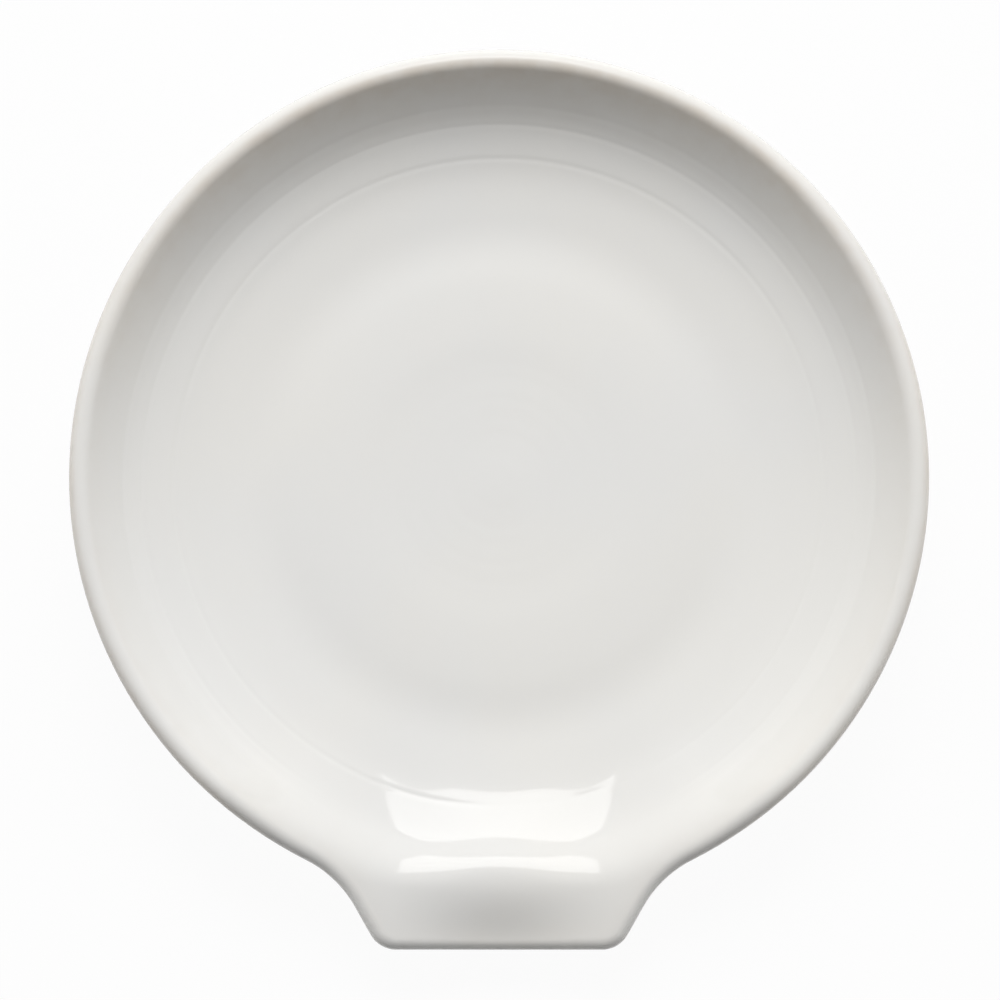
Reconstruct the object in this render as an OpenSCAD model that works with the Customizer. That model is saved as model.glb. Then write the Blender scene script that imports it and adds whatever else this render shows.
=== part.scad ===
// Round spoon rest: a pressed stoneware dish whose rim drops to a short lip for the handle of a spoon.
// It is glazed all over but for the foot ring it stands on. Lengths are in millimetres.
// The dish's axis is upright and the lip points along -Y.

/* [Dish] */
// Diameter of the dish over its glazed rim
dish_d = 195; // [180:1:225]
// Height of the rim's top above the table
dish_h = 27; // [23:0.5:34]
// Thickness of the fired clay
clay_t = 4.4; // [3.4:0.1:5.4]
// Thickness of the clay at the edge
rim_t = 4.6; // [3.2:0.1:5.2]
// Thickness of the glaze
glaze_t = 0.3; // [0.2:0.05:0.5]
// Rise of the floor from its middle to the soft swelling round it
floor_swell = 0.68; // [0.1:0.02:1]

/* [Rings] */
// Width of a ring
ring_w = 1.8; // [1.2:0.1:2.2]
// Depth of a ring
ring_depth = 0.08; // [0.05:0.01:0.25]

/* [Lip] */
// How far the lip reaches beyond the circle of the dish
lip_reach = 9.8; // [6:0.1:14]
// Width of the lip's end, between the sharp corners that its rounding replaces
lip_w = 54.4; // [44:0.1:66]
// Slant of the lip's flanks from the line of its end, in degrees
lip_flank = 60.5; // [52:0.5:70]
// Radius of the lip's corners
lip_corner_r = 6.6; // [4:0.1:9]
// Radius of the hollow between each flank and the dish
neck_r = 26; // [14:0.5:34]
// Height of the lip's crest above the table, where a spoon's handle lies
lip_crest_h = 17.1; // [14:0.1:20]
// Drop of the middle of the lip from its crest to its end
lip_drop = 3.7; // [0:0.1:7]
// Length of the lip along which it drops
lip_drop_l = 13; // [9:0.1:20]
// Distance from the lip's middle at which the drop has nearly gone
lip_drop_x = 19.5; // [12:0.5:30]
// Rise of the lip's crest from its middle to its flanks
lip_side_rise = 0.6; // [0.2:0.1:3]
// Distance from the lip's middle at which the rim has its full height
lip_spread = 58; // [50:1:66]
// Rounding between the dish's wall and the lip's crest, at the lip's middle
lip_blend = 4.4; // [2:0.1:8]
// The same rounding at the lip's flanks, where it is softest
lip_blend_side = 11; // [5:0.5:14]

/* [Foot] */
// Diameter of the foot ring's outer edge
foot_d = 112; // [96:1:118]
// Width of the foot ring where it stands
foot_w = 4.5; // [3:0.1:7]
// Height of the foot ring
foot_h = 2.8; // [2:0.1:4]
// Widening of the foot ring towards the floor, on each side
foot_draft = 1; // [0.4:0.1:1.6]
// Bevel of the foot ring's edges
foot_edge = 0.6; // [0.3:0.1:1]
// Bare band between the foot ring and the glaze
bare_band = 0.6; // [0.3:0.1:1.5]

/* [Hidden] */

// Colours of the bare clay and of the glaze
clay_colour = [0.84, 0.79, 0.70];
glaze_colour = [0.95, 0.95, 0.93];

// Flat underside between the glaze's edge and the place where the wall begins
wall_margin = 2.4;
// How far the foot ring runs up into the floor that carries it
foot_sink = 1;

// Height of the floor along its radius, as shares of that radius and of the swelling
floor_shares = [
    [0, 0], [0.33, 0.09], [0.46, 0.42], [0.58, 0.87], [0.72, 1],
    [0.8, 0.91], [0.895, 0.64], [0.95, 0.81], [1, 1.26]
];
// Slope of the wall in degrees, against the share of its way from floor to rim
wall_slope_shares = [
    [0, 7.5], [0.2, 9.6], [0.345, 13.3], [0.455, 17.9], [0.57, 21.3],
    [0.66, 28.6], [0.74, 38.8], [0.8, 45.3], [0.885, 51.1], [1, 54.4]
];
// How much of an eased run the lip's drop has made where its edge cuts it off, still falling there
drop_share = 0.83;

// Places of the three rings on that way
ring_shares = [0.438, 0.663, 0.792];

// Steps of a section up to the inner ring, and from ring to ring to the rim
steps_0 = 3;
steps_1 = 4;
steps_2 = 2;
steps_3 = 4;
// Steps over the rim, and along the lip's edge from its middle to the seam
rim_steps = 6;
end_steps = 5;
corner_steps = 3;
flank_steps = 2;
neck_steps = 5;
side_steps = 4;
// Step at which the wall's slope is added up, and at which the clay's tilt is taken
field_step = 0.5;

// The turned dish is three quarters of a ring, and the lip fills the last quarter.
// Both are drawn in a frame where their seams lie on the X and Y axes, and are then turned by half a quarter.
quarter = 90;
seam_angle = quarter / 2;
// Angle from the lip's middle past which its surface gives way to the plain dish, all of it at the seam
fade_angle = 41;

// Half of the clay's thickness, alone and with the glaze, and half of the edge's with the glaze
half_t = clay_t / 2;
skin_t = half_t + glaze_t;
edge_t = rim_t / 2 + glaze_t;
// Radius of the middle of the rim, and distance of the middle of the lip's edge from the axis
edge_r = dish_d / 2 - edge_t;
end_y = dish_d / 2 + lip_reach - edge_t;
// Radii of the foot ring at its root, of the glaze's edges either side of it and of the floor
foot_root_r = foot_d / 2 + foot_draft;
glaze_edge_r = foot_root_r + bare_band;
recess_r = foot_d / 2 - foot_w - foot_draft - bare_band;
floor_r = glaze_edge_r + wall_margin;
// Radii of the rings
ring_rs = [for (share = ring_shares) floor_r + share * (edge_r - floor_r)];
// Height of the middle of the clay at the axis, and its rise from there
low_z = foot_h + half_t;
wall_rise = dish_h - edge_t - low_z;
crest_rise = lip_crest_h - skin_t - low_z;
// The axis stands behind the middle of the model's box by half of the lip's reach
axis_y = lip_reach / 2;

function unit(v) = v / norm(v);
function reversed(a) = [for (i = [len(a) - 1 : -1 : 0]) a[i]];
function steps_after(a, b, n) = [for (i = [1 : n]) a + (b - a) * i / n];

// The clay is a bent slab. The functions here give the height of its middle over the plan.
function floor_height(r) = floor_swell * lookup(r / floor_r, floor_shares);
function wall_slope(r) = tan(lookup((r - floor_r) / (edge_r - floor_r), wall_slope_shares));
wall_table = [for (r = floor_r, z = 0; r <= dish_d;
    z = z + field_step * (wall_slope(r) + wall_slope(r + field_step)) / 2, r = r + field_step) [r, z]];
wall_scale = (wall_rise - floor_height(floor_r)) / lookup(edge_r, wall_table);
function dish_height(r) = r < floor_r ? floor_height(r)
    : floor_height(floor_r) + wall_scale * lookup(r, wall_table);

// The lip's own surface: a shallow trough that rises to the full rim on both sides and dips towards its end
spread_rise = wall_rise - crest_rise - lip_side_rise * pow(2 * lip_spread / lip_w, 2);
function eased(t) = t <= 0 ? 0 : t >= 1 ? 1 : t * t * (3 - 2 * t);
function drop_run(t) = eased(drop_share * t) / eased(drop_share);
function lip_height(x, y) = crest_rise + lip_side_rise * pow(2 * x / lip_w, 2)
    + spread_rise * pow(x / lip_spread, 4)
    - lip_drop * drop_run(1 - (end_y + y) / lip_drop_l) * exp(-pow(x / lip_drop_x, 2));

// The lower of the two surfaces, with a rounding where they cross. Away from the lip it is the dish alone.
// The rounding grows from the lip's middle to its flanks, and shrinks again past them.
function blend_at(x) = let (q = pow(2 * x / lip_w, 2))
    lip_blend + (lip_blend_side - lip_blend) * q * exp(1 - q);
function rounded_min(a, b, blend) = min(a, b) - blend * pow(max(0, 1 - abs(a - b) / blend), 2) / 4;
function lip_share(x, y) = 1 - eased((atan2(abs(x), -y) - fade_angle) / (seam_angle - fade_angle));
function mid_height(x, y) = let (dish = dish_height(norm([x, y])))
    low_z + dish + lip_share(x, y) * (rounded_min(dish, lip_height(x, y), blend_at(x)) - dish);
function normal_at(x, y) = unit([
    mid_height(x - field_step, y) - mid_height(x + field_step, y),
    mid_height(x, y - field_step) - mid_height(x, y + field_step),
    2 * field_step]);

// Stations of a section from the axis outwards. Up to the inner ring they keep their radius everywhere.
// Beyond it they are shares of the way to the edge, which the lip draws out.
inner_stations = concat(
    [for (i = [1 : len(floor_shares) - 2]) floor_shares[i][0] * floor_r],
    [glaze_edge_r, floor_r],
    steps_after(floor_r, ring_rs[0] - ring_w / 2, steps_0),
    [ring_rs[0], ring_rs[0] + ring_w / 2]
);
outer_start = ring_rs[0] + ring_w / 2;
outer_stations = concat(
    steps_after(outer_start, ring_rs[1] - ring_w / 2, steps_1),
    [ring_rs[1], ring_rs[1] + ring_w / 2],
    steps_after(ring_rs[1] + ring_w / 2, ring_rs[2] - ring_w / 2, steps_2),
    [ring_rs[2], ring_rs[2] + ring_w / 2],
    steps_after(ring_rs[2] + ring_w / 2, edge_r, steps_3)
);
stations = concat(inner_stations, outer_stations);
inner_count = len(inner_stations);
last = len(stations) - 1;
flat_last = len(floor_shares) - 1;
function station_r(k, reach) = k < inner_count ? stations[k]
    : outer_start + (stations[k] - outer_start) * (reach - outer_start) / (edge_r - outer_start);

// Half of the clay's thickness at a station. Past the outer ring it passes to the edge's thickness.
edge_start = ring_rs[2] + ring_w / 2;
function half_at(k) = half_t
    + (rim_t / 2 - half_t) * eased((stations[k] - edge_start) / (edge_r - edge_start));

// Depth of the rings at a station: the inner ring runs all round, and the outer two fade out before the lip
function on_ring(k, r) = stations[k] == r ? 1 : 0;
function ring_share(angle) = eased((abs(angle) - side_angle) / (seam_angle - side_angle));
function ring_at(k, angle) = ring_depth
    * (on_ring(k, ring_rs[0]) + (on_ring(k, ring_rs[1]) + on_ring(k, ring_rs[2])) * ring_share(angle));

// Edge of the middle of the clay, seen from above, from the lip's middle to the seam
flank_dir = [cos(lip_flank), sin(lip_flank)];
flank_out = [sin(lip_flank), -cos(lip_flank)];
flank_l = flank_out * [lip_w / 2, -dish_d / 2 - lip_reach] - edge_t;
corner_r = lip_corner_r - edge_t;
corner_x = (flank_l - end_y * cos(lip_flank)) / sin(lip_flank) - corner_r * tan(lip_flank / 2);
corner_centre = [corner_x, corner_r - end_y];
hollow_r = neck_r + edge_t;
hollow_along = -sqrt(pow(edge_r + hollow_r, 2) - pow(flank_l + hollow_r, 2));
hollow_centre = (flank_l + hollow_r) * flank_out + hollow_along * flank_dir;
hollow_end = atan2(-hollow_centre[1], -hollow_centre[0]);
side_angle = atan2(hollow_centre[0], -hollow_centre[1]);
half_edge = concat(
    [for (x = steps_after(0, corner_x, end_steps)) [x, -end_y]],
    [for (a = steps_after(-quarter, lip_flank - quarter, corner_steps))
        corner_centre + corner_r * [cos(a), sin(a)]],
    steps_after(corner_centre + corner_r * flank_out, hollow_centre - hollow_r * flank_out, flank_steps),
    [for (a = steps_after(quarter + lip_flank, hollow_end, neck_steps))
        hollow_centre + hollow_r * [cos(a), sin(a)]],
    [for (a = steps_after(side_angle, seam_angle, side_steps)) edge_r * [sin(a), -cos(a)]]
);
edge_points = concat([for (p = reversed(half_edge)) [-p[0], p[1]]], [[0, -end_y]], half_edge);
edge_last = len(edge_points) - 1;

// A section runs out over the dish, round the rim and back beneath to the floor, a point at each step.
// On the way back it lies flat under the floor.
function under_station(q) = 2 * last + rim_steps - q;
function rim_angle(q) = 180 * (q - last) / rim_steps;

// Section of the turned dish, with each point's distance from the axis and its height
function dish_mid(r) = [r, low_z + dish_height(r)];
function dish_normal(r) = unit([dish_height(r - field_step) - dish_height(r + field_step), 2 * field_step]);
function dish_point(q, skin) =
    q <= last ?
        dish_mid(stations[q]) + (half_at(q) + skin - ring_at(q, seam_angle)) * dish_normal(stations[q])
    : q < last + rim_steps ?
        let (up = dish_normal(edge_r), out = [up[1], -up[0]])
        dish_mid(edge_r) + (rim_t / 2 + skin) * (cos(rim_angle(q)) * up + sin(rim_angle(q)) * out)
    : let (k = under_station(q), r = stations[k])
        k <= flat_last ? [r, foot_h - skin] : dish_mid(r) - (half_at(k) + skin) * dish_normal(r);
function dish_path(skin, upto) = [for (q = [0 : upto]) dish_point(q, skin)];

// Rows of points across the lip, from one seam to the other. The rows on the seams are sections of the dish.
function lip_mid(i, k) = let (p = station_r(k, norm(edge_points[i])) * unit(edge_points[i]))
    [p[0], p[1], mid_height(p[0], p[1])];
function lip_normal(i, k) = let (p = lip_mid(i, k)) normal_at(p[0], p[1]);
function lip_out(i) = let (a = lip_mid(i - 1, last), b = lip_mid(i + 1, last))
    unit(cross(b - a, lip_normal(i, last)));
function lip_point(i, q, skin) =
    q <= last ?
        let (angle = atan2(edge_points[i][0], -edge_points[i][1]))
        lip_mid(i, q) + (half_at(q) + skin - ring_at(q, angle)) * lip_normal(i, q)
    : q < last + rim_steps ?
        let (up = lip_normal(i, last), out = lip_out(i))
        lip_mid(i, last) + (rim_t / 2 + skin) * (cos(rim_angle(q)) * up + sin(rim_angle(q)) * out)
    : let (k = under_station(q), p = lip_mid(i, k))
        k <= flat_last ? [p[0], p[1], foot_h - skin] : p - (half_at(k) + skin) * lip_normal(i, k);
function turned(p) = [p[0] * cos(seam_angle) - p[1] * sin(seam_angle),
    p[0] * sin(seam_angle) + p[1] * cos(seam_angle), p[2]];
function lip_rows(skin, upto) = [for (i = [0 : edge_last])
    i == 0 ? [for (p = dish_path(skin, upto)) [0, -p[0], p[1]]]
    : i == edge_last ? [for (p = dish_path(skin, upto)) [p[0], 0, p[1]]]
    : [for (q = [0 : upto]) turned(lip_point(i, q, skin))]];

// The way round a section: all of it, and as far as the glaze goes
whole_way = under_station(0);
glazed_way = under_station(flat_last - 1);
function top_z(skin) = low_z + floor_height(0) + half_t + skin;

// Solid across the lip, closed by its two seam faces. Each row runs out and back between two points on
// the axis.
module lip_solid(rows, upper_z, lower_z) {
    n = len(rows);
    m = len(rows[0]);
    upper = n * m;
    lower = upper + 1;
    far = (n - 1) * m;
    function pair(a, b, c, d) = [[a, b, c], [a, c, d]];
    function cap(s, q) = let (a = s + q, b = s + m - 1 - q)
        b - a > 2 ? pair(a, a + 1, b - 1, b) : [[a, a + 1, b]];
    function flipped(list) = [for (f = list) [f[0], f[2], f[1]]];
    faces = concat(
        [for (i = [0 : n - 2], q = [0 : m - 2]) let (a = i * m + q) each pair(a, a + m, a + m + 1, a + 1)],
        [for (i = [0 : n - 2]) [upper, (i + 1) * m, i * m]],
        [for (i = [0 : n - 2]) [lower, i * m + m - 1, (i + 1) * m + m - 1]],
        [for (q = [0 : ceil(m / 2) - 2]) each cap(0, q)],
        [for (q = [0 : ceil(m / 2) - 2]) each flipped(cap(far, q))],
        pair(upper, 0, m - 1, lower),
        flipped(pair(upper, far, far + m - 1, lower))
    );
    polyhedron([for (row = rows) each row, [0, 0, upper_z], [0, 0, lower_z]], faces);
}

// Turned part of the dish, open over the lip's quarter
module turned_solid(path, upper_z, lower_z) {
    rotate_extrude(angle = 3 * quarter, $fn = 180) polygon([[0, upper_z], each path, [0, lower_z]]);
}

module foot_ring() {
    outer = foot_d / 2;
    inner = outer - foot_w;
    rotate_extrude($fn = 180) polygon([
        [inner + foot_edge, 0],
        [outer - foot_edge, 0],
        [outer, foot_edge],
        [foot_root_r, foot_h],
        [foot_root_r, foot_h + foot_sink],
        [inner - foot_draft, foot_h + foot_sink],
        [inner - foot_draft, foot_h],
        [inner, foot_edge]
    ]);
}

module stoneware_body() {
    color(clay_colour) translate([0, axis_y, 0]) rotate(-seam_angle) {
        turned_solid(dish_path(0, whole_way), top_z(0), foot_h);
        lip_solid(lip_rows(0, whole_way), top_z(0), foot_h);
        foot_ring();
    }
}

module glaze_coat() {
    outer_rows = lip_rows(glaze_t, glazed_way);
    inner_rows = lip_rows(0, glazed_way);
    path = concat(dish_path(glaze_t, glazed_way), reversed(dish_path(0, glazed_way)));
    rows = [for (i = [0 : edge_last]) concat(outer_rows[i], reversed(inner_rows[i]))];
    color(glaze_colour) translate([0, axis_y, 0]) rotate(-seam_angle) {
        turned_solid(path, top_z(glaze_t), top_z(0));
        lip_solid(rows, top_z(glaze_t), top_z(0));
    }
}

module foot_recess_glaze() {
    color(glaze_colour) translate([0, axis_y, foot_h - glaze_t])
        cylinder(h = glaze_t, r = recess_r, $fn = 180);
}

stoneware_body();
glaze_coat();
foot_recess_glaze();
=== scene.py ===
# %% [markdown]
# # A glazed spoon rest
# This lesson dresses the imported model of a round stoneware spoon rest. The real dish is shaped from clay
# on a wheel, dipped in a glossy white glaze and fired standing on a bare ring.
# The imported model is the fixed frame: it gives the place and the size of everything below.

# %% Load the frame
import math
from bisect import bisect_right

import bmesh
import bpy
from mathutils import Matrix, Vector, noise


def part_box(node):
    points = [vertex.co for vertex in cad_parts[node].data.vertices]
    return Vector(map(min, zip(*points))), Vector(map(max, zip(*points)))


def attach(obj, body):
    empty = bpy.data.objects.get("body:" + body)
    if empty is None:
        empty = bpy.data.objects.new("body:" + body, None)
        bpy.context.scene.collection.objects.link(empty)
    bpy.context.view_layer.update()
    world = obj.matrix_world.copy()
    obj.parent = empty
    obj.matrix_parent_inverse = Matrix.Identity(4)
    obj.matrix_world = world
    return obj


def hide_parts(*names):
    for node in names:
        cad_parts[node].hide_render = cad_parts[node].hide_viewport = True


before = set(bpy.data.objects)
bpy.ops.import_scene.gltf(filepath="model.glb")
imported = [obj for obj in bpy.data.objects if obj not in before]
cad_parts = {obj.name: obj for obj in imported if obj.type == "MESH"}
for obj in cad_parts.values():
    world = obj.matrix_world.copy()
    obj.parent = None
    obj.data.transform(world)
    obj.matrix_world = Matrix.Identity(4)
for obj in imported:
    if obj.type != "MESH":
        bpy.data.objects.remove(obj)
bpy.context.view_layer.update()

MM = 0.001
print("nodes:", sorted(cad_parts))

# %% [markdown]
# ## The camera
# The photograph looks almost straight down, from slightly in front. The dish's circle shows a hair flatter
# than it is wide, and its floor lies a little lower in the picture than its rim, which gives the tilt of
# 5.5 degrees. A long lens is used, so the far side of the rim looks hardly smaller than the near side.
# The camera could be placed by hand in the viewport. Working it out from the tilt keeps the framing exact.

# %% Place the camera
CAMERA_HEIGHT_ANGLE = math.radians(84.5)
CAMERA_DISTANCE = 1.1
FRAME_WIDTH = 226 * MM
FARTHEST_SEEN = 50
aim = Vector((0.2 * MM, -1.2 * MM, 26.4 * MM))
away = Vector((0, -math.cos(CAMERA_HEIGHT_ANGLE), math.sin(CAMERA_HEIGHT_ANGLE)))

camera_data = bpy.data.cameras.new("camera")
camera_data.angle = 2 * math.atan(FRAME_WIDTH / 2 / CAMERA_DISTANCE)
camera_data.clip_end = FARTHEST_SEEN
camera = bpy.data.objects.new("camera", camera_data)
camera.location = aim + CAMERA_DISTANCE * away
camera.rotation_euler = (-away).to_track_quat("-Z", "Y").to_euler()
bpy.context.scene.collection.objects.link(camera)
bpy.context.scene.camera = camera
print("camera at", [round(c, 3) for c in camera.location])

# %% [markdown]
# ## Sizes
# The dish is a slab of clay with a thin coat of glaze, and it is a little thicker at the rim. The frame's
# boxes give how wide, how long and how high it is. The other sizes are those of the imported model, so the
# dressed pieces lie where its solids lie, a hair inside their box.

# %% Name the sizes
low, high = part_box("glaze_coat")
CLAY = 4.4 * MM
COAT = 0.3 * MM
HALF_CLAY = CLAY / 2
SKIN = HALF_CLAY + COAT
HALF_RIM = 2.3 * MM
RIM_SKIN = HALF_RIM + COAT
INSIDE_GAP = 0.03 * MM
DISH_R = (high.x - low.x) / 2 - INSIDE_GAP
AXIS_Y = high.y - (high.x - low.x) / 2
EDGE_R = DISH_R - RIM_SKIN
END_Y = AXIS_Y - low.y - INSIDE_GAP - RIM_SKIN
FOOT_OUT = 56 * MM
FOOT_W = 4.5 * MM
FOOT_IN = FOOT_OUT - FOOT_W
FOOT_H = 2.8 * MM
FOOT_DRAFT = 1 * MM
BARE_BAND = 0.6 * MM
GLAZE_EDGE_R = FOOT_OUT + FOOT_DRAFT + BARE_BAND
RECESS_R = FOOT_IN - FOOT_DRAFT - BARE_BAND
WALL_PAST_GLAZE_EDGE = 2.4 * MM
FLOOR_R = GLAZE_EDGE_R + WALL_PAST_GLAZE_EDGE
LOW_Z = FOOT_H + HALF_CLAY
WALL_RISE = high.z - INSIDE_GAP - RIM_SKIN - LOW_Z
print("dish across", round(2 * DISH_R / MM, 2), "mm, axis at y", round(AXIS_Y / MM, 2), "mm")

# %% [markdown]
# ## The form of the slab
# A potter shapes this dish with a profile tool, so its section is one smooth line: a floor that swells by
# two thirds of a millimetre towards its edge and dips again, and a wall that steepens up to the rim.
# A chain of arcs could draw it. Here a few places with a height or a slope are joined by a curve that never
# overshoots them, because the light on a glossy white floor shows a tenth of a degree.
# The floor's table gives shares of its radius and of its swell, and its first place, past the axis, keeps
# the curve level there. The wall's table gives shares of its width with the slope in degrees, and it reaches
# past the rim, because the lip does.

# %% Draw the section
def smooth_through(places):
    """A smooth curve through (place, value) pairs that stays between its neighbours."""
    xs, ys = zip(*places)
    rises = [(ys[i + 1] - ys[i]) / (xs[i + 1] - xs[i]) for i in range(len(xs) - 1)]
    middle = [0 if a * b <= 0 else 2 * a * b / (a + b) for a, b in zip(rises, rises[1:])]
    tilts = [rises[0]] + middle + [rises[-1]]

    def value(x):
        x = min(max(x, xs[0]), xs[-1])
        i = min(bisect_right(xs, x), len(xs) - 1) - 1
        width = xs[i + 1] - xs[i]
        t = (x - xs[i]) / width
        return ((1 + 2 * t) * (1 - t) ** 2 * ys[i] + t * (1 - t) ** 2 * width * tilts[i]
                + t * t * (3 - 2 * t) * ys[i + 1] + t * t * (t - 1) * width * tilts[i + 1])
    return value


def eased(t):
    """A soft step from 0 to 1, as t goes from 0 to 1."""
    t = min(max(t, 0), 1)
    return t * t * (3 - 2 * t)


SWELL = 0.68 * MM
FLOOR_SHARES = [(-0.25, -0.01), (0, 0), (0.17, -0.13), (0.25, -0.05), (0.33, 0.09), (0.417, 0.27),
                (0.458, 0.42), (0.5, 0.605), (0.542, 0.785), (0.583, 0.875), (0.667, 0.985), (0.72, 1),
                (0.767, 0.977), (0.8, 0.91), (0.833, 0.783), (0.867, 0.673), (0.895, 0.644), (0.917, 0.67),
                (0.95, 0.814), (0.975, 1.008), (1, 1.26)]
WALL_REACH = 1.3
WALL_STEPS = 2000
RIM_SLOPE = 54.4
WALL_SLOPES = [(0, 7.5), (0.057, 8.7), (0.114, 8.9), (0.228, 9.9), (0.285, 11), (0.342, 13.2), (0.399, 16.2),
               (0.455, 17.9), (0.513, 19), (0.57, 21.3), (0.627, 25.2), (0.684, 31.1), (0.74, 38.8),
               (0.769, 43.1), (0.798, 45.2), (0.883, 51), (0.94, 53.7), (1, RIM_SLOPE),
               (WALL_REACH, RIM_SLOPE)]
floor_form = smooth_through(FLOOR_SHARES)
wall_slope = smooth_through(WALL_SLOPES)

wall_heights = [0]
for i in range(WALL_STEPS):
    share = WALL_REACH * (i + 0.5) / WALL_STEPS
    wall_heights.append(wall_heights[-1] + math.tan(math.radians(wall_slope(share))) / WALL_STEPS)
full_wall = wall_heights[round(WALL_STEPS / WALL_REACH)]


def dish_height(r):
    """Height of the middle of the clay above its height at the axis, at r from there."""
    if r < FLOOR_R:
        return SWELL * floor_form(r / FLOOR_R)
    at = min((r - FLOOR_R) / (EDGE_R - FLOOR_R) / WALL_REACH * WALL_STEPS, WALL_STEPS - 1)
    i = int(at)
    climbed = wall_heights[i] + (at - i) * (wall_heights[i + 1] - wall_heights[i])
    start = SWELL * floor_form(1)
    return start + (WALL_RISE - start) * climbed / full_wall


probes = (0, 51, 75, 95)
print("height in mm at", probes, "mm:", [round(dish_height(r * MM) / MM, 2) for r in probes])

# %% [markdown]
# ## The lip
# At the front the rim drops to a short lip, where the spoon's handle lies. It is pressed in while the clay
# is soft, so its trough runs into the wall with no crease. Two surfaces, dish and trough, could be modelled
# apart and joined by a boolean. Taking the lower of the two heights, with a rounding where they cross, gives
# the same soft joint with no seam.

# %% Drop the rim at the lip
LIP_CREST = 17.1 * MM
CREST_Y = -91 * MM
LIP_W = 54.4 * MM
LIP_FLANK = math.radians(60.5)
LIP_CORNER_R = 6.6 * MM
NECK_R = 26 * MM
LIP_DROP = 3.7 * MM
LIP_DROP_L = 13 * MM
LIP_DROP_X = 19.5 * MM
LEVEL_SHARE = 0.83
LIP_SIDE_RISE = 0.6 * MM
LIP_SPREAD = 58 * MM
LIP_BLEND = 4.4 * MM
LIP_BLEND_SIDE = 11 * MM
FADE_ANGLE, PLAIN_ANGLE = math.radians(41), math.radians(45)
crest_rise = LIP_CREST - SKIN - LOW_Z
spread_rise = WALL_RISE - crest_rise - LIP_SIDE_RISE * (2 * LIP_SPREAD / LIP_W) ** 2


def lip_height(x, y):
    """Height of the trough: it rises to both sides and drops towards its front end."""
    run = eased(LEVEL_SHARE * (1 - (END_Y + y) / LIP_DROP_L)) / eased(LEVEL_SHARE)
    drop = LIP_DROP * run * math.exp(-(x / LIP_DROP_X) ** 2)
    return crest_rise + LIP_SIDE_RISE * (2 * x / LIP_W) ** 2 + spread_rise * (x / LIP_SPREAD) ** 4 - drop


def slab_height(x, y):
    """Height of the middle of the clay above the table."""
    dish = dish_height(math.hypot(x, y))
    share = 1 - eased((math.atan2(abs(x), -y) - FADE_ANGLE) / (PLAIN_ANGLE - FADE_ANGLE))
    if share == 0:
        return LOW_Z + dish
    lip = lip_height(x, y)
    # The rounding is widest at the lip's sides. Where the heights are equal, a quarter of it comes off.
    sideways = (2 * x / LIP_W) ** 2
    blend = LIP_BLEND + (LIP_BLEND_SIDE - LIP_BLEND) * sideways * math.exp(1 - sideways)
    lower = min(dish, lip) - blend * max(0, 1 - abs(dish - lip) / blend) ** 2 / 4
    return LOW_Z + dish + share * (lower - dish)


TILT_STEP = 0.2 * MM


def slab_normal(x, y):
    """The direction that the upper face looks in, from the heights around it."""
    falls = (slab_height(x - TILT_STEP, y) - slab_height(x + TILT_STEP, y),
             slab_height(x, y - TILT_STEP) - slab_height(x, y + TILT_STEP))
    return Vector((*falls, 2 * TILT_STEP)).normalized()


print("lip crest in mm:", round((slab_height(0, CREST_Y) + SKIN) / MM, 2))

# %% [markdown]
# ## The edge seen from above
# The outline is a circle that opens into the lip: a straight end, two rounded corners, two straight
# flanks and two hollows that meet the circle. It could be a curve object. A list of points, one for each
# spoke of the mesh, is simpler, because every ring of the dish then follows the outline by itself.

# %% Lay out the spokes
END_STEPS, CORNER_STEPS, FLANK_STEPS, NECK_STEPS, ROUND_STEPS = 10, 8, 5, 10, 75
SPOKES = 2 * (END_STEPS + CORNER_STEPS + FLANK_STEPS + NECK_STEPS + ROUND_STEPS)


def turned(radius, angle):
    """The point at this radius and angle from a centre."""
    return Vector((radius * math.cos(angle), radius * math.sin(angle)))


def steps_between(a, b, count):
    """Equal steps from a to b, without a itself."""
    return [a + (b - a) * i / count for i in range(1, count + 1)]


flank_along, flank_out = turned(1, LIP_FLANK), turned(1, LIP_FLANK - math.pi / 2)
flank_off = flank_out.dot(Vector((LIP_W / 2, -END_Y - RIM_SKIN))) - RIM_SKIN
corner_r = LIP_CORNER_R - RIM_SKIN
flank_meets_end_x = (flank_off - END_Y * math.cos(LIP_FLANK)) / math.sin(LIP_FLANK)
corner_x = flank_meets_end_x - corner_r * math.tan(LIP_FLANK / 2)
corner_at = Vector((corner_x, corner_r - END_Y))
hollow_r = NECK_R + RIM_SKIN
hollow_at = ((flank_off + hollow_r) * flank_out
             - math.sqrt((EDGE_R + hollow_r) ** 2 - (flank_off + hollow_r) ** 2) * flank_along)
hollow_end = math.atan2(-hollow_at.y, -hollow_at.x)
side_angle = math.atan2(hollow_at.x, -hollow_at.y)

half_outline = [Vector((0, -END_Y))]
half_outline += [Vector((x, -END_Y)) for x in steps_between(0, corner_x, END_STEPS)]
half_outline += [corner_at + turned(corner_r, a)
                 for a in steps_between(-math.pi / 2, LIP_FLANK - math.pi / 2, CORNER_STEPS)]
half_outline += steps_between(corner_at + corner_r * flank_out,
                              hollow_at - hollow_r * flank_out, FLANK_STEPS)
half_outline += [hollow_at + turned(hollow_r, a)
                 for a in steps_between(math.pi / 2 + LIP_FLANK, hollow_end, NECK_STEPS)]
half_outline += [EDGE_R * Vector((math.sin(a), -math.cos(a)))
                 for a in steps_between(side_angle, math.pi, ROUND_STEPS)]
outline = half_outline + [Vector((-p.x, p.y)) for p in reversed(half_outline[1:-1])]
print(len(outline), "spokes, corner at", [round(c / MM, 1) for c in corner_at])

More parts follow.
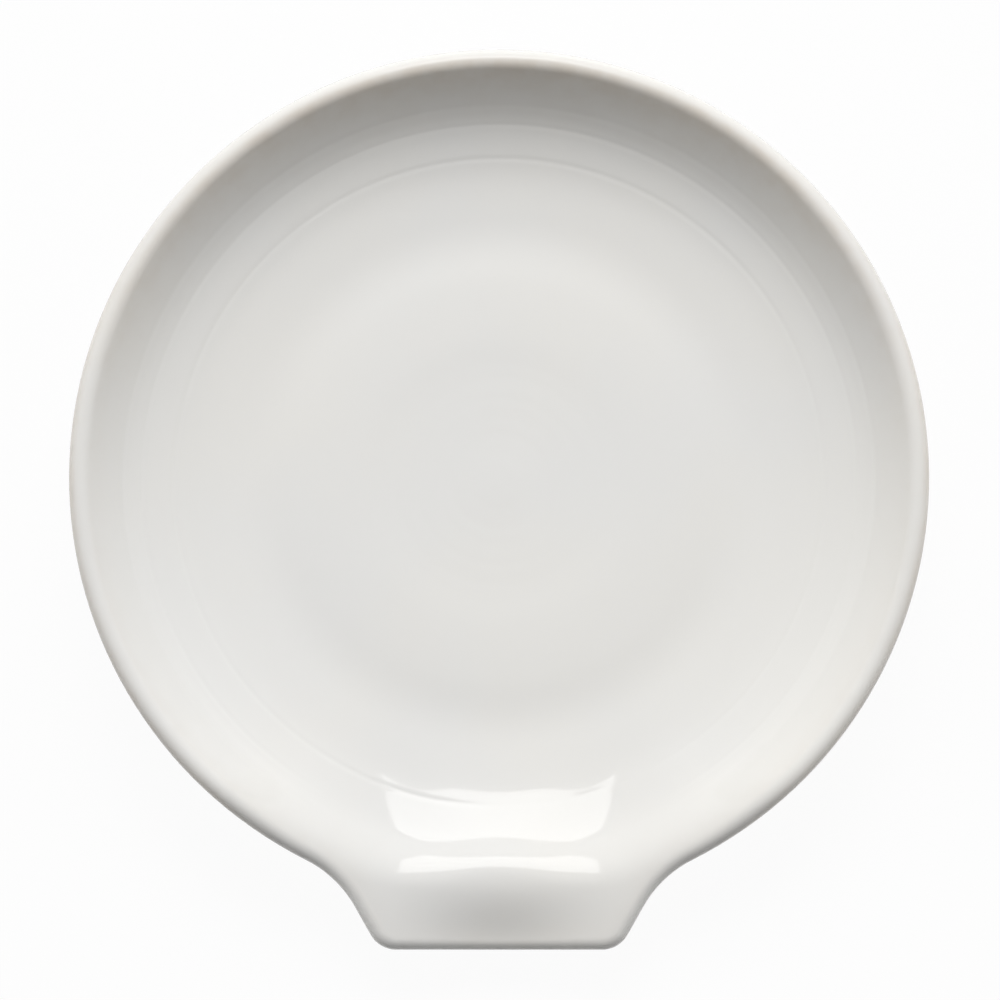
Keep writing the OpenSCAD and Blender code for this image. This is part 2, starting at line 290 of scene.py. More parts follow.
# %% [markdown]
# ## What the tool and the hand left behind
# Three fine rings run round the wall. The outer two fade out before the lip, and the inner one is nearly
# wiped away at the right of it, where the lip was pressed in. The middle of the floor has faint throwing
# rings about four millimetres apart, and the glaze has settled with a slight unevenness.
# All of it is real relief of a tenth to a hundredth of a millimetre, because gloss shows form and a flat
# pattern would look printed. The angles are in radians from the lip's middle, positive to the right.

# %% Model the rings and the settled glaze
RING_SHARES = (0.438, 0.663, 0.792)
RINGS = [FLOOR_R + share * (EDGE_R - FLOOR_R) for share in RING_SHARES]
RING_W = 1.8 * MM
RING_DEPTH = 0.08 * MM
WIPED_SHARE = 0.85
WIPE_START, WIPE_START_W = -0.13, 0.14
WIPE_END, WIPE_END_W = 0.75, 0.3
THROWN_R = 29.5 * MM
THROWN_FADE = 3 * MM
THROWN_GAP = 4.3 * MM
THROWN_RISE = 0.012 * MM
SECOND_GAP = 0.61 * THROWN_GAP
SECOND_SHARE = 0.35
SECOND_SHIFT = 1
UNEVEN = 0.012 * MM
BROAD_PATCH, SMALL_PATCH = 22 * MM, 9 * MM
SMALL_PATCH_SHARE = 0.4


def groove(r, ring):
    """Depth of one ring at r, from 0 beside it to 1 in its middle."""
    near = abs(r - ring) / RING_W
    return math.cos(math.pi * near) ** 2 if near < 0.5 else 0


def ring_relief(r, angle):
    """Height that the three rings take away."""
    near_lip = eased((abs(angle) - side_angle) / (PLAIN_ANGLE - side_angle))
    wiped = eased((angle - WIPE_START) / WIPE_START_W) * eased((WIPE_END - angle) / WIPE_END_W)
    return -RING_DEPTH * (groove(r, RINGS[0]) * (1 - WIPED_SHARE * wiped)
                          + (groove(r, RINGS[1]) + groove(r, RINGS[2])) * near_lip)


def thrown_relief(r):
    """Height of the throwing rings: two waves of different length, so that they don't look ruled."""
    inside = eased((THROWN_R - r) / THROWN_FADE)
    first = math.cos(2 * math.pi * r / THROWN_GAP)
    second = math.cos(2 * math.pi * r / SECOND_GAP + SECOND_SHIFT)
    return THROWN_RISE * inside * (first + SECOND_SHARE * second)


def glaze_relief(point, r, angle):
    """Height of all the relief of the glaze at a point of the upper face."""
    settled = noise.noise(point / BROAD_PATCH) + SMALL_PATCH_SHARE * noise.noise(point / SMALL_PATCH)
    return ring_relief(r, angle) + thrown_relief(r) + UNEVEN * settled


print("rings at", [round(r / MM, 1) for r in RINGS], "mm")

# %% [markdown]
# ## One disc becomes the dish
# The section runs from the axis out over the dish, round the rim and back beneath. It could be spun round
# the axis at once, but the lip isn't round. So a flat disc is spun first, with one ring for each stop of
# the section, and then each ring is moved to its stop. Along a spoke the stops past the inner ring stretch
# with the outline, which draws the lip out of the round dish.

# %% Find the place of a stop
STRETCH_FROM = RINGS[0] + RING_W / 2
THICKENS_FROM = RINGS[2] + RING_W / 2
RIM_SETTLES = 0.4
FLAT_BAND = 6 * MM


def half_clay(r):
    """Half of the clay's thickness, which grows a little past the outer ring."""
    return HALF_CLAY + (HALF_RIM - HALF_CLAY) * eased((r - THICKENS_FROM) / (EDGE_R - THICKENS_FROM))


def along_spoke(r, spoke):
    """A point in the middle of the clay, at r on a plain spoke and further out on a spoke of the lip."""
    reach = outline[spoke].length
    if r > STRETCH_FROM:
        r = STRETCH_FROM + (r - STRETCH_FROM) * (reach - STRETCH_FROM) / (EDGE_R - STRETCH_FROM)
    flat = outline[spoke] * (r / reach)
    return Vector((flat.x, flat.y, slab_height(flat.x, flat.y)))


def over(r, spoke, skin):
    """A point of the upper face, at r on a plain spoke."""
    point = along_spoke(r, spoke)
    lift = half_clay(r) + skin
    if skin:
        angle = math.atan2(outline[spoke].x, -outline[spoke].y)
        lift += glaze_relief(point, r, angle)
    return point + lift * slab_normal(point.x, point.y)


def round_rim(turn, spoke, skin):
    """A point of the rim, turn degrees round it from the upper face."""
    point = along_spoke(EDGE_R, spoke)
    up = slab_normal(point.x, point.y)
    before, after = along_spoke(EDGE_R, spoke - 1), along_spoke(EDGE_R, (spoke + 1) % SPOKES)
    out = (after - before).cross(up).normalized()
    angle = math.radians(turn)
    lift = HALF_RIM + skin
    if skin:
        lift += UNEVEN * (noise.noise(point / BROAD_PATCH) - RIM_SETTLES)
    return point + lift * (math.cos(angle) * up + math.sin(angle) * out)


def under(r, spoke, skin):
    """A point of the lower face, which runs flat beneath the floor."""
    point = along_spoke(r, spoke)
    hung = point - (half_clay(r) + skin) * slab_normal(point.x, point.y)
    flat = Vector((point.x, point.y, FOOT_H - skin))
    return flat.lerp(hung, eased((r - GLAZE_EDGE_R) / FLAT_BAND))


print("lip end at y", round((round_rim(90, 0, COAT).y + AXIS_Y) / MM, 2), "mm")

# %% [markdown]
# ## Spin, move and close
# Both the clay and its glaze are made by the same helper. The spin gives a disc with equal wedges, and the
# ring and the spoke of each vertex are read back from its place on that disc. The two ends of the section
# lie on the axis, so their rings close to a point once doubles are merged. After that the normals are
# recalculated, as merging can leave some of them turned inwards.
# Each stop also says how thin the glaze is there, and where the glaze's tan is painted shade. That number is
# stored on the vertices, for the material to read.

# %% Build a piece from a section
RING_GAP = 1 * MM
MERGE_WITHIN = 0.0005 * MM
BACK_Y = 100 * MM


def spun_piece(stops):
    """A closed mesh from stops of (function, value, skin, thinness), given from axis to axis.

    Thinness, which also carries painted shade, is a number, or a pair: at the middle of the dish and
    further forward, and at its back.
    """
    bm = bmesh.new()
    thin = bm.verts.layers.float.new("thin_glaze_and_shade")
    chain = [bm.verts.new((0, -RING_GAP * i, 0)) for i in range(len(stops))]
    edges = [bm.edges.new(pair) for pair in zip(chain, chain[1:])]
    bmesh.ops.spin(bm, geom=chain + edges, cent=(0, 0, 0), axis=(0, 0, 1), angle=2 * math.pi,
                   steps=SPOKES, use_merge=True)
    for vert in bm.verts:
        ring = round(vert.co.xy.length / RING_GAP)
        spoke = round(math.atan2(vert.co.x, -vert.co.y) / (2 * math.pi) * SPOKES) % SPOKES
        shape, value, skin, thinness_and_shade = stops[ring]
        vert.co = shape(value, spoke, skin)
        vert.co.y += AXIS_Y
        ahead, behind = thinness_and_shade if isinstance(thinness_and_shade, tuple) else (thinness_and_shade, thinness_and_shade)
        vert[thin] = ahead + (behind - ahead) * eased(vert.co.y / BACK_Y)
    bmesh.ops.remove_doubles(bm, verts=bm.verts, dist=MERGE_WITHIN)
    bmesh.ops.recalc_face_normals(bm, faces=bm.faces)
    return bm


def finished_piece(name, bm):
    """An object with smooth faces, its place kept in its mesh."""
    for face in bm.faces:
        face.smooth = True
    mesh = bpy.data.meshes.new(name)
    bm.to_mesh(mesh)
    bm.free()
    piece = bpy.data.objects.new(name, mesh)
    bpy.context.scene.collection.objects.link(piece)
    triangles = sum(len(p.vertices) - 2 for p in mesh.polygons)
    print(name, len(mesh.vertices), "vertices,", triangles, "triangles")
    return piece


print("each piece is spun in", SPOKES, "wedges")

# %% [markdown]
# ## Where the glaze is thin, and where shade is painted
# The coat thins where it runs off a sharp turn, so the warm clay shows through in a fine line on the inner
# shoulder of the rim. The same tan is also painted shade: the line is made stronger at the back, whose wall
# lies in shade, and a line round the rim's outer edge, strongest from the sides to the front, is painted
# shade where that edge faces down. They could be painted on the mesh by hand. Curves over the section keep
# them smooth all the way round.
# The shoulder's table goes by shares of the radius, and those of the rim by degrees round it.

# %% Say how thin the glaze is and where shade is painted
# The line's full strength, used behind, is partly painted shade on the back wall, which lies in shade.
SHOULDER_THINNESS_AND_SHADE = [(0, 0), (0.84, 0), (0.9, 0.15), (0.945, 0.3), (0.97, 0.5), (0.985, 0.75), (1, 0.95)]
BACK_RIM_THINNESS_AND_SHADE = [(0, 0.95), (25, 1), (40, 0.95), (52, 0.75), (65, 0.4), (80, 0.2), (110, 0.1),
                     (180, 0.1)]
# Ahead, the tan round turns 95 to 150, on the rim's outer edge, is painted shade where that edge faces down.
FRONT_RIM_THINNESS_AND_SHADE = [(0, 0.2), (40, 0.1), (70, 0.2), (95, 0.6), (115, 0.8), (150, 0.7), (180, 0.3)]
FRONT_SHOULDER_SHARE = 0.2
BENEATH_THINNESS = 0.1
FOOT_THINNESS = 0.7
FOOT_THIN_BAND = 0.4 * MM

thin_and_shaded_at_shoulder = smooth_through(SHOULDER_THINNESS_AND_SHADE)
thin_and_shaded_behind = smooth_through(BACK_RIM_THINNESS_AND_SHADE)
thin_and_shaded_ahead = smooth_through(FRONT_RIM_THINNESS_AND_SHADE)


def shoulder_thinness_and_shade(r):
    """Thinness at r on the upper face, ahead and behind; what it has more of behind is painted shade."""
    behind = thin_and_shaded_at_shoulder(r / EDGE_R)
    return FRONT_SHOULDER_SHARE * behind, behind


def rim_thinness_and_shade(turn):
    """Thinness at turn degrees round the rim, ahead and behind; the tan on the outer edge ahead is painted
    shade, and so is the stronger line on top behind.
    """
    return thin_and_shaded_ahead(turn), thin_and_shaded_behind(turn)


def foot_thinness(r):
    """Thinness at r on the lower face: the coat is thin where it was wiped back."""
    return FOOT_THINNESS if r < GLAZE_EDGE_R + FOOT_THIN_BAND else BENEATH_THINNESS


print("thinness at the shoulder, ahead and behind:", shoulder_thinness_and_shade(EDGE_R))

# %% [markdown]
# ## The glaze
# On the real dish the glaze is a glassy coat of about a third of a millimetre. It draws back to a rounded,
# slightly thicker edge beside the foot ring. A Solidify modifier could give it its thickness, but its inner
# face needs far fewer faces than its outer one, so the section simply runs back inside.

# %% Make the glaze coat
RIM_STEP = 12
RIM_END = 180 - RIM_STEP
OUTER_RIM_STEPS, INNER_RIM_STEPS = 14, 8
THICK_EDGE = 0.1 * MM
THICK_EDGE_W = 1.2 * MM
EDGE_SOFTNESS = 0.12 * MM
NEARLY = 0.01 * MM


def stations(*legs):
    """Places from 0 outwards: each leg is (end, step), in millimetres."""
    places = [0.0]
    for end, step in legs:
        count = max(1, round((end - places[-1]) / step))
        places += steps_between(places[-1], end, count)
    return [p * MM for p in places]


def rolled_edge(r, spoke, skin):
    """The last of the glaze under the dish, thicker beside the foot ring."""
    point = under(r, spoke, skin)
    near = (r - GLAZE_EDGE_R) / THICK_EDGE_W
    point.z -= THICK_EDGE * math.sin(math.pi * min(max(near, 0), 1)) ** 2
    return point


edge_mm, glaze_edge_mm = EDGE_R / MM, GLAZE_EDGE_R / MM
fine = stations((30, 0.6), (FLOOR_R / MM, 1.4), (edge_mm, 0.4))
coarse = stations((FLOOR_R / MM, 6), (edge_mm, 1.75))
beneath = stations((glaze_edge_mm, glaze_edge_mm), (glaze_edge_mm + 1, 0.25), (edge_mm, 1.2))[1:]

coat_stops = [(over, r, COAT, shoulder_thinness_and_shade(r)) for r in fine]
coat_stops += [(round_rim, turn, COAT, rim_thinness_and_shade(turn))
               for turn in steps_between(0, RIM_END, OUTER_RIM_STEPS)]
coat_stops += [(rolled_edge, r, COAT, foot_thinness(r)) for r in reversed(beneath)]
coat_stops += [(under, r, 0, FOOT_THINNESS) for r in beneath[::2]]
coat_stops += [(round_rim, turn, 0, 0)
               for turn in steps_between(180 + RIM_STEP, RIM_STEP, INNER_RIM_STEPS)]
coat_stops += [(over, r, 0, 0) for r in reversed(coarse)]
coat_mesh = spun_piece(coat_stops)


def from_axis(vert):
    """How far a vertex lies from the dish's axis."""
    return math.hypot(vert.co.x, vert.co.y - AXIS_Y)


def is_glaze_edge(edge):
    """True for the corner where the outer face of the glaze ends, beside the foot ring."""
    return all(abs(from_axis(v) - GLAZE_EDGE_R) < NEARLY and abs(v.co.z - FOOT_H + COAT) < NEARLY
               for v in edge.verts)


corner = [edge for edge in coat_mesh.edges if is_glaze_edge(edge)]
bmesh.ops.bevel(coat_mesh, geom=corner, offset=EDGE_SOFTNESS, segments=3, profile=0.5,
                affect="EDGES", material=-1)
glaze = finished_piece("glaze", coat_mesh)

# %% [markdown]
# ## The clay
# Only the foot ring and a narrow band beside it are bare on the real dish. The potter wipes the glaze off
# them so that the dish doesn't stick to the kiln shelf. The clay is still made whole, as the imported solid
# is, so that nothing is missing if the coat is hidden. The ring's corners are bevelled after the spin, which
# is easier to read than arcs in the section. The number that says how thin the glaze is has another use on
# the clay: 1 marks the face that the table rubs.

# %% Make the stoneware body
SOLE_INSET = 0.2 * MM
SOLE_CORNER_H = 0.24 * MM
MIDWAY_SHARE = 0.6
FOOT_SOFTNESS = 0.14 * MM
ring_section = [(GLAZE_EDGE_R, FOOT_H), (FOOT_OUT + FOOT_DRAFT, FOOT_H), (FOOT_OUT, SOLE_CORNER_H),
                (FOOT_OUT - SOLE_INSET, 0), (FOOT_IN + SOLE_INSET, 0), (FOOT_IN, SOLE_CORNER_H),
                (FOOT_IN - FOOT_DRAFT, FOOT_H), (RECESS_R, FOOT_H), (MIDWAY_SHARE * RECESS_R, FOOT_H),
                (0, FOOT_H)]
# The corners of the ring itself, from its outer root down, across and up to its inner root.
ring_corners = [radius for radius, height in ring_section[1:7]]


def turned_at(place, spoke, skin):
    """A point of the foot ring, given by its radius and height."""
    flat = outline[spoke].normalized() * place[0]
    return Vector((flat.x, flat.y, place[1]))


def turning_radius(edge):
    """The radius of an edge that runs round the foot ring, or 0 for any other edge."""
    a, b = [from_axis(v) for v in edge.verts]
    runs_round = abs(a - b) < NEARLY / 10
    return a if runs_round and max(v.co.z for v in edge.verts) < FOOT_H + NEARLY else 0


body_stops = [(over, r, 0, 0) for r in coarse]
body_stops += [(round_rim, turn, 0, 0) for turn in steps_between(0, RIM_END, INNER_RIM_STEPS)]
body_stops += [(under, r, 0, 0) for r in reversed(beneath[::2][1:])]
body_stops += [(turned_at, place, 0, 1 if place[1] == 0 else 0) for place in ring_section]
body_mesh = spun_piece(body_stops)

corners = [edge for edge in body_mesh.edges
           if any(abs(turning_radius(edge) - r) < NEARLY for r in ring_corners)]
bmesh.ops.bevel(body_mesh, geom=corners, offset=FOOT_SOFTNESS, segments=3, profile=0.5,
                affect="EDGES", material=-1)
stoneware = finished_piece("stoneware", body_mesh)

# %% [markdown]
# ## The glaze inside the foot ring
# The floor inside the foot ring is glazed as well, up to a wiped edge. It is a thin round sheet with a soft
# edge. A cylinder with bevelled corners is enough for it. The sheet is inset in a few circles first, so
# that the glaze can sag a little unevenly, as it does on a surface that hung face down in the kiln.

# %% Make the recess glaze
RECESS_STEPS = 180
RECESS_SOFTNESS = 0.13 * MM
INSETS_MM = (0.5, 1.5, 4, 10, 14, 12)
SAG = 0.03 * MM
SAG_PATCH = 15 * MM
SAG_FADE_SHARE = 0.125
RECESS_THINNESS = 0.5
RECESS_THIN_SHARE = 0.03

recess_low, recess_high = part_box("foot_recess_glaze")
recess_mesh = bmesh.new()
recess_thin = recess_mesh.verts.layers.float.new("thin_glaze_and_shade")
bmesh.ops.create_circle(recess_mesh, cap_ends=True, segments=RECESS_STEPS, radius=RECESS_R - INSIDE_GAP)
bmesh.ops.translate(recess_mesh, verts=recess_mesh.verts, vec=(0, AXIS_Y, recess_high.z))
lifted = bmesh.ops.extrude_face_region(recess_mesh, geom=recess_mesh.faces[:])["geom"]
bmesh.ops.translate(recess_mesh, verts=[g for g in lifted if isinstance(g, bmesh.types.BMVert)],
                    vec=(0, 0, recess_low.z - recess_high.z))
bmesh.ops.recalc_face_normals(recess_mesh, faces=recess_mesh.faces)
lower_edges = [e for e in recess_mesh.edges if all(abs(v.co.z - recess_low.z) < NEARLY for v in e.verts)]
bmesh.ops.bevel(recess_mesh, geom=lower_edges, offset=RECESS_SOFTNESS, segments=4, profile=0.5,
                affect="EDGES", material=-1)
sheet = max(recess_mesh.faces, key=lambda face: -face.normal.z * face.calc_area())
for width in INSETS_MM:
    bmesh.ops.inset_region(recess_mesh, faces=[sheet], thickness=width * MM, use_even_offset=True)
for vert in recess_mesh.verts:
    to_edge = 1 - from_axis(vert) / RECESS_R
    if vert.co.z < (recess_low.z + recess_high.z) / 2:
        vert.co.z += SAG * (1 + noise.noise(vert.co / SAG_PATCH)) / 2 * eased(to_edge / SAG_FADE_SHARE)
    vert[recess_thin] = RECESS_THINNESS * eased(1 - to_edge / RECESS_THIN_SHARE)
recess = finished_piece("recess_glaze", recess_mesh)

# %% [markdown]
# ## Shader maths that reads as sums
# A material is a small network of nodes. Wiring it by hand hides the idea, so a wrapped socket is used
# instead: a sum on it adds the Math node that does the sum, and one method adds any other node. The light
# of a lamp and of the room is mixed from nodes too, so the same class takes those.

# %% Wrap a socket
class Wire:
    """A socket that takes part in plain arithmetic."""

    def __init__(self, recipe, socket):
        self.recipe, self.socket = recipe, socket

    def maths(self, operation, first, second):
        return self.recipe.add("ShaderNodeMath", {"operation": operation}, {0: first, 1: second})

    def __add__(self, other):
        return self.maths("ADD", self, other)

    def __sub__(self, other):
        return self.maths("SUBTRACT", self, other)

    def __rsub__(self, other):
        return self.maths("SUBTRACT", other, self)

    def __mul__(self, other):
        return self.maths("MULTIPLY", self, other)

    __radd__ = __add__
    __rmul__ = __mul__


class Recipe:
    """The nodes of a material, a lamp or the room, under construction."""

    def __init__(self, owner, output="ShaderNodeOutputMaterial"):
        owner.use_nodes = True
        self.owner, self.tree, self.output = owner, owner.node_tree, output
        self.tree.nodes.clear()

    def add(self, kind, settings=None, sockets=None, out=0):
        """Any node: its type, its settings and the values or wires of its sockets."""
        node = self.tree.nodes.new(kind)
        for key, value in (settings or {}).items():
            setattr(node, key, value)
        for key, value in (sockets or {}).items():
            if isinstance(value, Wire):
                self.tree.links.new(value.socket, node.inputs[key])
            else:
                node.inputs[key].default_value = value
        return Wire(self, node.outputs[out]) if node.outputs else None

    def grain(self, size, detail=2, roughness=0.5):
        """Noise whose grains measure about size, on the piece's own coordinates."""
        place = self.add("ShaderNodeTexCoord", out="Object")
        return self.add("ShaderNodeTexNoise", None,
                        {"Vector": place, "Scale": 1 / size, "Detail": detail, "Roughness": roughness})

    def thinness_and_shade(self):
        """The number that the piece's vertices carry."""
        return self.add("ShaderNodeAttribute", {"attribute_name": "thin_glaze_and_shade"}, out="Fac")

    def blend(self, factor, first, second):
        """A colour between two colours."""
        return self.add("ShaderNodeMix", {"data_type": "RGBA"},
                        {"Factor": factor, 6: first, 7: second}, out=2)

    def between(self, value, start, end):
        """The value's place between start and end, from 0 to 1."""
        return self.add("ShaderNodeMapRange", {"interpolation_type": "SMOOTHSTEP"},
                        {"Value": value, "From Min": start, "From Max": end})

    def finish(self, shader):
        """The last node, which shows the shader."""
        self.add(self.output, None, {"Surface": shader})
        print(self.owner.name, "is mixed from", len(self.tree.nodes), "nodes")
        return self.owner


print("a wire can add, subtract and multiply")

# %% [markdown]
# ## White gloss glaze
# The glaze is a slightly warm white, with a broad and very faint drift between a cooler and a warmer tone.
# Where the coat is thin it turns to the tan of the clay beneath, broken up a little, because a brush or
# a dip never leaves an even line. The same tan is painted shade at the back of the rim's shoulder and round
# its outer edge at the front. It is as smooth as glass but for a slight orange-peel ripple, and a trace
# rougher where it is thin.

# %% Mix the glaze
COOL_WHITE = (0.805, 0.8, 0.782, 1)
WARM_WHITE = (0.816, 0.806, 0.777, 1)
THIN_TAN = (0.60, 0.50, 0.385, 1)
TAN_STRENGTH = 0.46
TAN_EVEN, TAN_BROKEN = 0.75, 0.35
GLASSY, BROKEN_ROUGHENS, THIN_ROUGHENS = 0.05, 0.02, 0.08
DRIFT_SIZE = 60 * MM
BREAK_SIZE = 5 * MM
RIPPLE_SIZE, RIPPLE_HEIGHT = 3.2 * MM, 0.004 * MM

gloss = Recipe(bpy.data.materials.new("white_gloss_glaze"))
drift = gloss.between(gloss.grain(DRIFT_SIZE), start=0.35, end=0.65)
broken = gloss.between(gloss.grain(BREAK_SIZE, detail=4), start=0.3, end=0.7)
thinness_and_shade = gloss.thinness_and_shade()
# The tan follows the thinness, which also carries painted shade at the back shoulder and on the front outer
# edge.
tan_and_shade_share = thinness_and_shade * (TAN_EVEN + broken * TAN_BROKEN) * TAN_STRENGTH
glaze_colour = gloss.blend(tan_and_shade_share, gloss.blend(drift, COOL_WHITE, WARM_WHITE), THIN_TAN)
glaze_roughness = GLASSY + broken * BROKEN_ROUGHENS + thinness_and_shade * THIN_ROUGHENS
ripple = gloss.add("ShaderNodeBump", None, {"Height": gloss.grain(RIPPLE_SIZE, detail=1),
                                            "Strength": 0.5, "Distance": RIPPLE_HEIGHT})
white_glaze = gloss.finish(gloss.add("ShaderNodeBsdfPrincipled", None, {
    "Base Color": glaze_colour, "Roughness": glaze_roughness, "IOR": 1.5, "Normal": ripple}))

# %% [markdown]
# ## Bare stoneware
# The bare clay is a buff stoneware, matt and slightly rough, with darker specks where iron grains burned
# in the kiln. The face that the dish stands on is rubbed smoother and a little darker by the table.

# %% Mix the stoneware
BUFF = (0.66, 0.56, 0.43, 1)
SAND = (0.53, 0.43, 0.31, 1)
SPECK = (0.24, 0.17, 0.11, 1)
SPECK_STRENGTH = 0.6
CLOUD_DARKENS, RUBBING_DARKENS = 0.7, 0.3
MATT, RUBBING_SMOOTHS, SPECKS_SMOOTH = 0.9, 0.2, 0.1
CLOUD_SIZE = 9 * MM
SPECK_SIZE = 0.7 * MM
FINE_TOOTH_SIZE, COARSE_TOOTH_SIZE = 0.35 * MM, 2.5 * MM
RUBBED_OFF, COARSE_SHARE = 0.5, 0.6
TOOTH_HEIGHT = 0.05 * MM

bare = Recipe(bpy.data.materials.new("bare_stoneware"))
cloud = bare.between(bare.grain(CLOUD_SIZE, detail=5, roughness=0.6), start=0.3, end=0.7)
specks = bare.between(bare.grain(SPECK_SIZE, detail=1), start=0.7, end=0.74)
rubbed = bare.thinness_and_shade()
bare_colour = bare.blend(cloud * CLOUD_DARKENS + rubbed * RUBBING_DARKENS, BUFF, SAND)
specked_colour = bare.blend(specks * SPECK_STRENGTH, bare_colour, SPECK)
bare_roughness = MATT - rubbed * RUBBING_SMOOTHS - specks * SPECKS_SMOOTH
fine_tooth = bare.grain(FINE_TOOTH_SIZE, detail=3, roughness=0.7) * (1 - rubbed * RUBBED_OFF)
tooth = fine_tooth + bare.grain(COARSE_TOOTH_SIZE) * COARSE_SHARE
rough_face = bare.add("ShaderNodeBump", None, {"Height": tooth, "Strength": 0.7, "Distance": TOOTH_HEIGHT})
bare_clay = bare.finish(bare.add("ShaderNodeBsdfPrincipled", None, {
    "Base Color": specked_colour, "Roughness": bare_roughness, "Normal": rough_face}))

# %% [markdown]
# ## Dress the pieces
# Each piece stands for one solid of the imported model: it takes its material, hides that solid and rides on
# its only body.

# %% Hand the pieces over
for piece, node, slot, material in ((glaze, "glaze_coat", "glaze", white_glaze),
                                    (stoneware, "stoneware_body", "clay", bare_clay),
                                    (recess, "foot_recess_glaze", "glaze", white_glaze)):
    piece.data.materials.append(material)
    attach(piece, "root")
    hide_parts(node)
    print(piece.name, "stands for", node)

# %% [markdown]
# ## The floor
# The dish was photographed on plain white. That white comes from the floor's own colour and from what the
# camera sees, not from more light on the dish: a ray that looks at the floor finds it nearly white, and
# a ray that only carries light finds a pale floor. A little of the lit floor shows through, for the shadow.
# The floor lies a hair below the foot, and it is clear when it is looked at from beneath, so that the
# underside of the dish can be seen too.

# %% Lay the floor
WHITE = (1, 1, 1, 1)
PALE = (0.8, 0.8, 0.8, 1)
FLOOR_SPREAD = 4
FLOOR_DROP = 0.05 * MM
LIT_FLOOR_SHARE = 0.05


def looking(recipe):
    """1 for a ray that looks, straight or by way of gloss or glass, and 0 for one that carries light."""
    return sum(recipe.add("ShaderNodeLightPath", out=kind)
               for kind in ("Is Camera Ray", "Is Glossy Ray", "Is Transmission Ray"))


floor_mesh = bmesh.new()
bmesh.ops.create_circle(floor_mesh, cap_ends=True, segments=64, radius=FLOOR_SPREAD)
bmesh.ops.translate(floor_mesh, verts=floor_mesh.verts, vec=(0, 0, -FLOOR_DROP))
floor = finished_piece("floor", floor_mesh)
ground = Recipe(bpy.data.materials.new("white_floor"))
lit = ground.add("ShaderNodeBsdfDiffuse", None, {"Color": PALE})
glow = ground.add("ShaderNodeEmission", None, {"Color": WHITE, "Strength": 1})
shown = ground.add("ShaderNodeMixShader", None,
                   {0: looking(ground) * (1 - LIT_FLOOR_SHARE), 1: lit, 2: glow})
from_beneath = ground.add("ShaderNodeNewGeometry", out="Backfacing")
clear = ground.add("ShaderNodeBsdfTransparent")
white_floor = ground.finish(ground.add("ShaderNodeMixShader", None, {0: from_beneath, 1: shown, 2: clear}))
floor.data.materials.append(white_floor)
print("floor faces up:", floor.data.polygons[0].normal.z > 0)

# %% [markdown]
# ## The room
# A little light comes evenly from a white room. It could be a second large lamp, but light from the world
# reaches the dish from every side at no cost. A ray that looks past the floor sees plain white there.

# %% Fill the room with even light
ROOM_LIGHT = 0.03
world = bpy.data.worlds.new("white_room")
bpy.context.scene.world = world
room = Recipe(world, "ShaderNodeOutputWorld")
soft = room.add("ShaderNodeBackground", None, {"Color": WHITE, "Strength": ROOM_LIGHT})
plain = room.add("ShaderNodeBackground", None, {"Color": WHITE, "Strength": 1})
room.finish(room.add("ShaderNodeMixShader", None, {0: looking(room), 1: soft, 2: plain}))
print("room light", ROOM_LIGHT)

# %% [markdown]
# ## The lamps
# The key is a softbox behind the dish, whose reflection lies in the wall and on the lip. A broad lamp gives
# most of the soft light from behind, and three lamps on each side, one above the other, lift the walls left
# and right. These are kept out of the reflections, because the photograph shows no second bright shape.
# They could be one large dome, but separate lamps can be set against the photograph one at a time.

# %% Hang the lamps
def lamp(name, azimuth, elevation, distance, width, height, brightness, in_reflections=True):
    """A rectangular lamp that faces the dish. Azimuth 0 is straight behind it and grows to the right."""
    data = bpy.data.lights.new(name, "AREA")
    data.shape = "RECTANGLE"
    data.size, data.size_y = width, height
    data.energy = brightness * math.pi * width * height
    a, e = math.radians(azimuth), math.radians(elevation)
    towards = Vector((math.sin(a) * math.cos(e), math.cos(a) * math.cos(e), math.sin(e)))
    made = bpy.data.objects.new(name, data)
    made.location = aim + distance * towards
    made.rotation_euler = towards.to_track_quat("Z", "Y").to_euler()
    made.visible_glossy = in_reflections
    bpy.context.scene.collection.objects.link(made)
    print(name, "at", [round(c, 2) for c in made.location], round(data.energy, 1), "W")
    return made


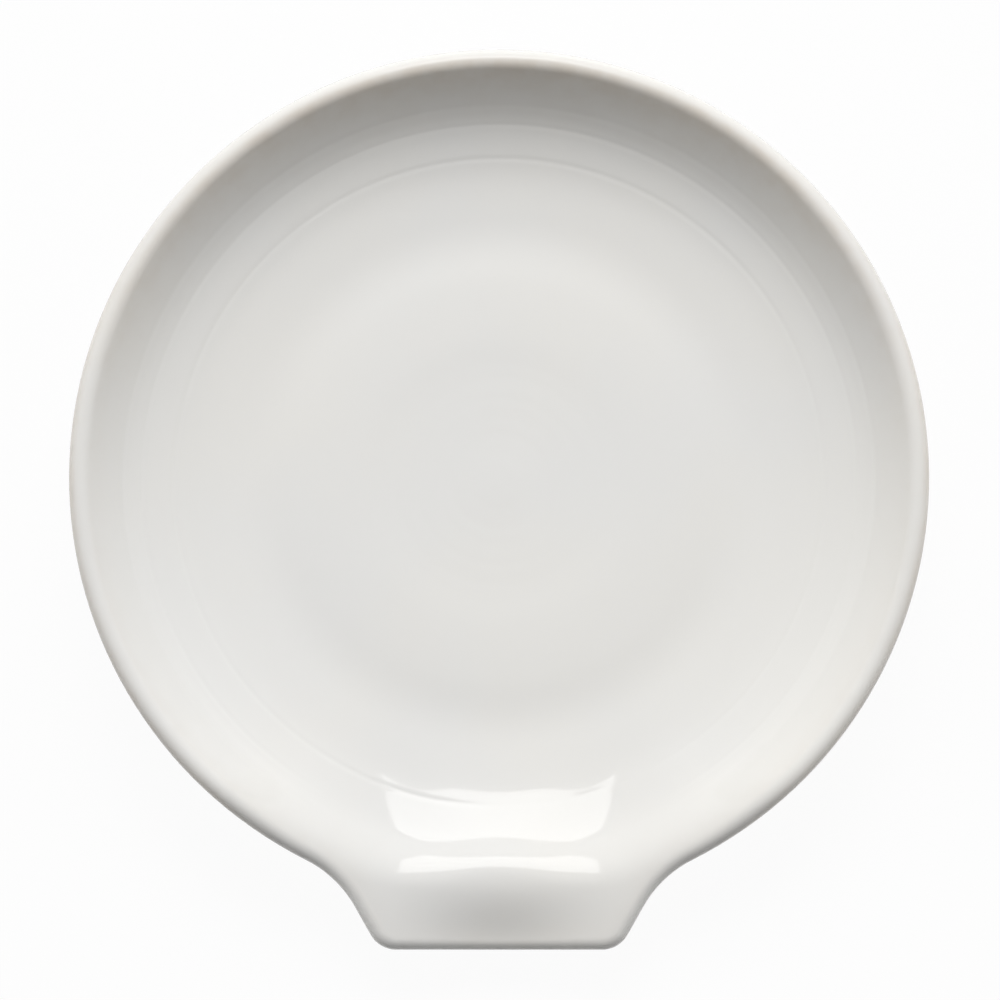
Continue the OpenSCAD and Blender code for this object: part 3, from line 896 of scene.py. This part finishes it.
BOX_WIDTH, BOX_HEIGHT = 0.46, 0.72
softbox = lamp("softbox", azimuth=0, elevation=53.2, distance=1.5, width=BOX_WIDTH, height=BOX_HEIGHT,
               brightness=2.9)
lamp("broad_lamp", azimuth=0, elevation=45, distance=2.2, width=1.6, height=1.2, brightness=6.25,
     in_reflections=False)
for tier, azimuth, elevation, brightness in (("low", 90, 12, 0.84), ("middle", 70, 25, 0.94),
                                             ("high", 80, 38, 1.45)):
    for side, turn in (("left", -1), ("right", 1)):
        lamp(f"{tier}_{side}_lamp", azimuth * turn, elevation, distance=2.2, width=2.4, height=0.8,
             brightness=brightness, in_reflections=False)

# %% [markdown]
# ## The bow of the softbox
# In the photograph the reflection in the wall is a crescent: its edges follow the dish and rise at both
# ends. A straight edge reflects as a straight line here, so the softbox is masked to a shape whose upper and
# lower edges bow upwards. The mask reads the place on the lamp itself, which runs from 0 to 1 across and up.
# Across is then counted from -1 to 1, and up in metres from the lamp's middle.

# %% Mask the softbox
TOP_EDGE, TOP_BOW = 0.262, 0.09
BOTTOM_EDGE, BOTTOM_BOW = -0.2685, 0.12
BOW_POWER = 1.3

mask = Recipe(softbox.data, "ShaderNodeOutputLight")
on_lamp = mask.add("ShaderNodeNewGeometry", out="Parametric")
across = mask.add("ShaderNodeSeparateXYZ", None, {0: on_lamp}, out="X") * 2 - 1
up = (mask.add("ShaderNodeSeparateXYZ", None, {0: on_lamp}, out="Y") - 0.5) * BOX_HEIGHT
distance_out = mask.add("ShaderNodeMath", {"operation": "ABSOLUTE"}, {0: across})
bow = distance_out.maths("POWER", distance_out, BOW_POWER)
below_top = up.maths("LESS_THAN", up, bow * TOP_BOW + TOP_EDGE)
above_bottom = up.maths("GREATER_THAN", up, bow * BOTTOM_BOW + BOTTOM_EDGE)
mask.finish(mask.add("ShaderNodeEmission", None, {"Strength": below_top * above_bottom}))

# %% [markdown]
# ## Last settings
# The plain view transform shows a colour as it is written. The imported solids were only hidden, so that
# the dressed model can be compared with the imported one.

# %% Close the scene
bpy.context.scene.view_settings.view_transform = "Standard"
